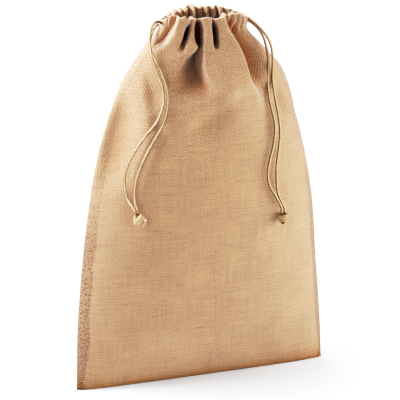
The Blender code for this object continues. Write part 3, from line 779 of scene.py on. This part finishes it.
def panelLayers(side):
    face, tones = panelGrid(side)
    normal = outward(face, side)
    thick = clothThickness(face, tones[:, :, -1])[:, :, None]
    centred = 0.5 * ease(face[:, :, 2:3], 320, 370)
    outer = face + normal * thick * centred
    inner = face - normal * thick * (1 - centred)
    onFloor = face[:, :, 2] == 0.0
    outer[onFloor, 2] = 0.0
    inner[onFloor, 2] = thick[onFloor, 0]
    seam = np.array([[sectionAt(z)["seam"] for z in row[::12]] for row in face[:, :, 2]])
    seam = np.repeat(seam, 12, axis=1)[:, 1 : face.shape[1] - 1]
    reach = side * cloth["gap"] / 2 + side * 0.4
    inner[1:, 1:-1, 1] = seam[1:] + side * np.maximum(side * (inner[1:, 1:-1, 1] - seam[1:]), side * reach)
    # seen from inside, what is a crease outside stands out and the cloth between lies back; near the mouth
    # that cloth gets painted shade
    insideTones = tones.copy()
    insideTones[:, :, 0] = np.clip(6 - tones[:, :, 0], 0, None) * ease(face[:, :, 2], 385, 405)
    return (outer, inner), (tones, insideTones)


def clothCoordinates(grid):  # where each point lies on the cloth, in metres from the middle of its lower edge
    rows, columns, _ = grid.shape
    run = acrossCloth(grid)
    u = (run - run[:, -1:] / 2) * mm
    rise = np.zeros(rows)
    rise[1:] = np.cumsum(np.linalg.norm(np.diff(grid, axis=0), axis=2).mean(axis=1)) * mm
    return u, np.broadcast_to(rise[:, None], (rows, columns))


def buildPanel(name, side, material):
    sheets, tones = panelLayers(side)
    rows, columns, _ = sheets[0].shape
    u, v = clothCoordinates(sheets[0])
    bm = bmesh.new()
    uvLayer = bm.loops.layers.uv.new("UVMap")
    toneLayers = [bm.verts.layers.float.new(tone) for tone in clothTones]
    layers = [[[bm.verts.new(p * mm) for p in row] for row in sheet] for sheet in sheets]
    for layer, layerTones in zip(layers, tones):
        for row, rowTones in zip(layer, layerTones):
            for vert, values in zip(row, rowTones):
                for toneLayer, value in zip(toneLayers, values):
                    vert[toneLayer] = value

    def addFace(corners):
        face = bm.faces.new([layers[k][r][c] for k, r, c in corners])
        face.smooth = True
        for loop, (_, r, c) in zip(face.loops, corners):
            loop[uvLayer].uv = (u[r, c], v[r, c])

    for k in (0, 1):
        for r in range(rows - 1):
            for c in range(columns - 1):
                addFace([(k, r, c), (k, r, c + 1), (k, r + 1, c + 1), (k, r + 1, c)])
    rim = [(0, c) for c in range(columns)] + [(r, columns - 1) for r in range(1, rows)]
    rim += [(rows - 1, c) for c in range(columns - 2, -1, -1)] + [(r, 0) for r in range(rows - 2, 0, -1)]
    for (r0, c0), (r1, c1) in zip(rim, rim[1:] + rim[:1]):
        addFace([(0, r0, c0), (0, r1, c1), (1, r1, c1), (1, r0, c0)])
    panel = meshObject(name + "_cloth", bm, material)
    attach(panel, "root")
    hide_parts(name)
    print(f"{name}: {len(panel.data.polygons) * 2} triangles")
    return sheets[0]


hessian = {
    "pitch": 1.63,  # thread spacing in mm
    "warp": "DDB188",
    "weft": "99683A",
    "bumpHeight": 0.25,
    "hairHeight": 0.8,  # of the hairs in the bump, where the threads have 1
    "straying": 0.003,  # how far the threads wander, in metres
    "patterns": {  # noise over the cloth: scale, stretch, detail and a place of its own
        "straying": (55.0, (1.0, 1.0, 1.0), 2.0, 0.0),
        "warp": (1.0, (620.0, 24.0, 1.0), 1.0, 3.1),
        "weft": (1.0, (24.0, 620.0, 1.0), 1.0, 7.7),
        "hair": (900.0, (1.0, 1.0, 1.0), 3.0, 1.3),
        "patches": (26.0, (1.0, 1.0, 1.0), 3.0, 5.2),
        "slubs": (1.0, (70.0, 560.0, 1.0), 1.0, 11.3),
        "frays": (560.0, (1.0, 0.7, 1.0), 2.0, 9.4),
    },
    "streaks": {"warp": 0.32, "weft": 0.36, "patches": 0.25},  # each thread has its own tone along its run
    "grain": (1.0, 3.0),  # how uneven the hair looks low down and, drawn together, at the neck
    "grainSpan": (0.18, 0.34),  # the heights in metres where that changes
    "slubShade": 0.72,
    "fuzz": 0.7,  # pale fuzz that shows at the sides
    "seamReach": (16.0, 13.0),  # how far the doubled cloth of the left and right seam shows, in mm
    "seamSpan": (0.16, 0.27),  # the heights in metres where it fades out
    "seamShadeTone": "E3DFD8",
    "speckTone": "A3947F",
    "footShadeTone": "C2983C",
    "footReach": 8.5,
    "rimHighlightGain": 1.38,  # painted highlight where the fold at the mouth catches the light
    # how far the deepest cloth lies back in mm, and its painted shade as (share of that depth, tint): darker
    # and warmer deeper in, standing in for shade and for light that has gone from jute to jute
    "creaseDepth": (25.0, ((0.2, "FFFFFF"), (0.45, "F0D4B8"), (0.72, "CFA27E"), (0.95, "8A6750"))),
    "slotDepth": (26.0, (
        (0.02, "FFFFFF"), (0.06, "DCC4B0"), (0.15, "A08A7A"), (0.50, "7C6D64"), (1.0, "453F39"),
    )),
    "hollowDepth": (24.0, ((0.05, "FFFFFF"), (0.30, "EAD2BC"), (0.62, "C4AFA1"), (0.95, "ABA19D"))),
}


def hessianMaterial():
    # hessian: plain-woven jute, two sets of uneven hairy threads, with slubs and small dark holes
    material, tree, shader = addMaterial("jute hessian")

    def add(kind, sockets=(), **settings):
        return addNode(tree, "ShaderNode" + kind, sockets, **settings)

    uv = add("UVMap", uv_map="UVMap")
    noise = {}
    for name, (scale, stretch, detail, place) in hessian["patterns"].items():
        at = add("Mapping", {"Vector": uv, "Scale": stretch, "Location": (place, place, 0.0)})
        noise[name] = add("TexNoise", {"Vector": at, "Scale": scale, "Detail": detail})

    strays = (hessian["straying"], hessian["straying"], 0.0)
    centred = add("VectorMath", (noise["straying"].outputs["Color"], (0.5, 0.5, 0.5)), operation="SUBTRACT")
    shifted = add("VectorMath", (centred, strays), operation="MULTIPLY")
    place = add("VectorMath", (uv, shifted), operation="ADD")
    xy = add("SeparateXYZ", (place,)).outputs
    perThread = math.pi / (hessian["pitch"] * mm)
    across = add("Math", (add("Math", (xy["X"], perThread), operation="MULTIPLY"),), operation="SINE")
    upward = add("Math", (add("Math", (xy["Y"], perThread), operation="MULTIPLY"),), operation="SINE")
    over = add("Math", (across, upward), operation="MULTIPLY")  # 1 where the warp is on top, -1 for the weft

    lit = add("MapRange", (over, -1.0, 1.0, 0.0, 1.0))
    tone = add("Mix", {0: lit, 6: linear(hessian["weft"]), 7: linear(hessian["warp"])}, **blended)
    warp, weft, patches = (
        add("MapRange", (noise[name], 0.3, 0.7, -strength, strength))
        for name, strength in hessian["streaks"].items()
    )
    streaks = add("Math", (add("Math", (warp, weft), operation="ADD"), patches), operation="ADD")
    height = add("SeparateXYZ", (add("TexCoord").outputs["Object"],)).outputs["Z"]
    hair = add("MapRange", (noise["hair"], 0.3, 0.7, -0.2, 0.2))
    hairGain = add("MapRange", (height, *hessian["grainSpan"], *hessian["grain"]))
    grain = add("Math", (hair, hairGain), operation="MULTIPLY")
    threads = add("MapRange", (streaks, -1.0, 1.0, 0.73, 1.27))
    lightness = add("Math", (grain, threads), operation="ADD")
    tone = add("VectorMath", {0: tone, "Scale": lightness}, operation="SCALE")
    slubs = add("MapRange", (noise["slubs"], 0.64, 0.71, 0.0, 1.0))
    slubTone = add("MapRange", (slubs, 0.0, 1.0, 1.0, hessian["slubShade"]))
    tone = add("VectorMath", {0: tone, "Scale": slubTone}, operation="SCALE")

    # along the seams the doubled cloth is painted darker and rougher, as painted shade where less light comes
    # through it; this fades out higher up where the sides are lit brightly, and the specks are where it has
    # frayed
    fromSide = add("Attribute", attribute_name="fromSide").outputs["Fac"]
    reach = add("MapRange", (xy["X"], -0.05, 0.05, *hessian["seamReach"]))
    ragged = add("MapRange", (noise["patches"], 0.2, 0.8, -2.5, 2.5))
    edge = add("Math", (fromSide, ragged), operation="ADD")
    inside = add("MapRange", (add("Math", (reach, edge), operation="SUBTRACT"), 0.0, 2.5, 0.0, 1.0))
    faded = add("MapRange", (height, *hessian["seamSpan"], 1.0, 0.15))
    seam = add("Math", (inside, faded), operation="MULTIPLY")
    tone = add("Mix", {0: seam, 6: tone, 7: linear(hessian["seamShadeTone"])}, **multiplied)
    frays = add("MapRange", (noise["frays"], 0.50, 0.62, 0.0, 1.0))
    specks = add("Math", (seam, frays), operation="MULTIPLY")
    tone = add("Mix", {0: specks, 6: tone, 7: linear(hessian["speckTone"])}, **multiplied)

    # painted shade near the floor, where the cloth only gets light that has been on jute and paper
    falling = add("Math", (height, -1.0 / (hessian["footReach"] * mm)), operation="MULTIPLY")
    footShare = add("Math", (2.718, falling), operation="POWER")
    tone = add("Mix", {0: footShare, 6: tone, 7: linear(hessian["footShadeTone"])}, **multiplied)
    # painted highlight along the fold at the mouth
    rimShare = add("Attribute", attribute_name="rimShare").outputs["Fac"]
    rimLight = add("MapRange", (rimShare, 0.0, 1.0, 1.0, hessian["rimHighlightGain"]))
    tone = add("VectorMath", {0: tone, "Scale": rimLight}, operation="SCALE")

    # painted shade in creases, slots and the hollow, darker the deeper the cloth lies back
    depths = {name: add("Attribute", attribute_name=name).outputs["Fac"] for name in clothTones[:3]}
    for name, depth in depths.items():
        deepest, stops = hessian[name]
        shade = add("ValToRGB", (add("MapRange", (depth, 0.0, deepest, 0.0, 1.0)),))
        setStops(shade, stops)
        tone = add("Mix", {0: 1.0, 6: tone, 7: shade}, **multiplied)

    hairs = add("Math", (noise["hair"], hessian["hairHeight"]), operation="MULTIPLY")
    relief = add("Math", (over, hairs), operation="ADD")
    # painted shade: the sheen is taken away in deep creases and near the floor
    shown = add("MapRange", (depths["creaseDepth"], 2.0, 14.0, hessian["fuzz"], 0.0))
    raised = add("MapRange", (footShare, 0.0, 0.5, 1.0, 0.0))
    setSockets(tree, shader, {
        "Base Color": tone,
        "Normal": add("Bump", {"Height": relief, "Strength": 0.6, "Distance": hessian["bumpHeight"] * mm}),
        "Roughness": 0.9,
        "Specular IOR Level": 0.2,
        "Sheen Weight": add("Math", (shown, raised), operation="MULTIPLY"),
        "Sheen Roughness": 0.5,
    })
    return material


fibres = {  # lengths in mm
    "Fibres per square metre": 110000.0,
    "Length": 3.4,
    "Thickness": 0.075,
    "Waviness": 1.1,
    "Seed": 4,
}
fibreTones = ("A9783F", "FFE9CC")
fringe = {
    "columns": 8,  # of the cloth's grid, along each side seam
    "fromRow": 8,
    "below": 388.0,  # in mm, under the gathers
}


def fibreMaterial():
    # loose jute fibres: dry and pale, with a silky sheen, each a little different along its length
    material, tree, shader = addMaterial("loose jute fibres")
    spot = addNode(tree, "ShaderNodeTexCoord").outputs["Object"]
    shade = addNode(tree, "ShaderNodeTexNoise", {"Vector": spot, "Scale": 400.0, "Detail": 2.0})
    dark, pale = (linear(tone) for tone in fibreTones)
    setSockets(tree, shader, {
        "Base Color": addNode(tree, "ShaderNodeMix", {0: shade, 6: dark, 7: pale}, **blended),
        "Normal": addNode(tree, "ShaderNodeBump", {"Height": shade, "Strength": 0.3, "Distance": 0.0001}),
        "Roughness": 0.7,
        "Sheen Weight": 0.4,
    })
    return material


def fibreTree(material):  # scatters tapered, wavy fibres over the faces that come in, along their normals
    tree = bpy.data.node_groups.new("loose fibres", "GeometryNodeTree")
    tree.interface.new_socket("Cloth", in_out="INPUT", socket_type="NodeSocketGeometry")
    for name in fibres:
        kind = "NodeSocketInt" if name == "Seed" else "NodeSocketFloat"
        tree.interface.new_socket(name, in_out="INPUT", socket_type=kind)
    tree.interface.new_socket("Fibres", in_out="OUTPUT", socket_type="NodeSocketGeometry")
    add = partial(addNode, tree)
    given = add("NodeGroupInput").outputs
    points = add("GeometryNodeDistributePointsOnFaces", {
        "Mesh": given["Cloth"], "Density": given["Fibres per square metre"], "Seed": given["Seed"],
    })
    fibre = add("GeometryNodeMeshCone", {
        "Vertices": 3, "Side Segments": 4, "Radius Top": 0.0,
        "Radius Bottom": given["Thickness"], "Depth": given["Length"],
    })
    tilts = {0: (-0.95, -0.95, 0.0), 1: (0.95, 0.95, 6.283), "Seed": 2}
    tilt = add("FunctionNodeRandomValue", tilts, data_type="FLOAT_VECTOR")
    turn = add("FunctionNodeEulerToRotation", {"Euler": tilt})
    turned = {"Rotation": points.outputs["Rotation"], "Rotate By": turn}
    lean = add("FunctionNodeRotateRotation", turned, rotation_space="LOCAL")
    size = add("FunctionNodeRandomValue", {2: 0.35, 3: 1.25, "Seed": 3}).outputs[1]
    placed = add("GeometryNodeInstanceOnPoints", {
        "Points": points, "Instance": fibre, "Rotation": lean, "Scale": size,
    })
    real = add("GeometryNodeRealizeInstances", {"Geometry": placed})
    wave = add("ShaderNodeTexNoise", {"Scale": 260.0, "Detail": 0.0}).outputs["Color"]
    centred = add("ShaderNodeVectorMath", (wave, (0.5, 0.5, 0.5)), operation="SUBTRACT")
    offset = add("ShaderNodeVectorMath", {0: centred, "Scale": given["Waviness"]}, operation="SCALE")
    waved = add("GeometryNodeSetPosition", {"Geometry": real, "Offset": offset})
    painted = add("GeometryNodeSetMaterial", {"Geometry": waved, "Material": material})
    add("NodeGroupOutput", {"Fibres": painted})
    return tree


def buildFibres(name, side, grid, tree):  # fibres that stand out along the side seams and the mouth
    rows, columns, _ = grid.shape
    edge, last = fringe["columns"], columns - 1
    sides = list(range(edge)) + list(range(last - edge, last))
    beside = [(r, c) for r in range(fringe["fromRow"], rows - 1) for c in sides]
    picked = [(r, c) for r, c in beside if grid[r, c, 2] < fringe["below"]]
    picked += [(rows - 2, c) for c in range(edge, last - edge)]
    corners = [(0, 0), (0, 1), (1, 1), (1, 0)][:: -side]
    faces = [[(r + dr) * columns + c + dc for dr, dc in corners] for r, c in picked]
    strip = bpy.data.meshes.new(name)
    strip.from_pydata((grid * mm).reshape(-1, 3), [], faces)
    obj = bpy.data.objects.new(name + "_fibres", strip)
    bpy.context.scene.collection.objects.link(obj)
    modifier = obj.modifiers.new("fibres", "NODES")
    modifier.node_group = tree
    for socket in tree.interface.items_tree:
        if socket.name in fibres:
            inMetres = mm if socket.name in ("Length", "Thickness", "Waviness") else 1
            modifier[socket.identifier] = fibres[socket.name] * inMetres
    evaluated = obj.evaluated_get(bpy.context.evaluated_depsgraph_get())
    mesh = bpy.data.meshes.new_from_object(evaluated)
    obj.modifiers.clear()
    obj.data = mesh
    bpy.data.meshes.remove(strip)
    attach(obj, "root")
    triangles = sum(len(face.vertices) - 2 for face in mesh.polygons)
    print(f"{name}_fibres: {triangles} triangles")


def buildCloth():
    material = hessianMaterial()
    tree = fibreTree(fibreMaterial())
    for name, side in (("front_panel", -1), ("back_panel", 1)):
        grid = buildPanel(name, side, material)
        buildFibres(name, side, grid, tree)


buildStudio()
buildCords()
buildCloth()
